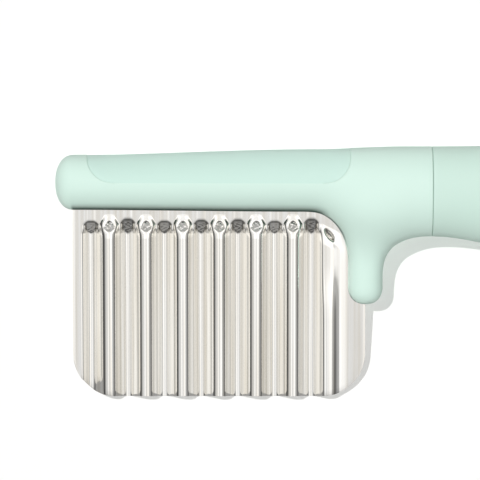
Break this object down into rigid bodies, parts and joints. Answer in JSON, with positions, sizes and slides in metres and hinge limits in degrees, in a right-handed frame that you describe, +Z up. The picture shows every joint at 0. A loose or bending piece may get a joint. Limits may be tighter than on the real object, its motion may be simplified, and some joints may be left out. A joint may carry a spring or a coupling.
{
  "type": "crinkle cutter",
  "caption": "Hand-held crinkle cutter: a fluted steel blade under a straight spine with a soft press pad, a finger claw at the blade's end and a soft oval grip.",
  "frame": {"origin": "middle of the bounding box's bottom face, on the table the tool lies on", "axes": "+X along the handle towards its butt, +Y in the table's plane from the cutting edge to the back of the spine, +Z up"},
  "size_m": [0.2244, 0.076, 0.0239],
  "materials": {
    "steel": "bright polished",
    "mint_shell": "satin",
    "mint_soft": "matt",
    "inner_rigid": "plain"
  },
  "bodies": {
    "root": {"blade": "steel", "blade_carrier": "inner_rigid", "head_shell": "mint_shell", "press_pad": "mint_soft", "handle_core": "inner_rigid", "grip_sleeve": "mint_soft"}
  },
  "joints": []
}
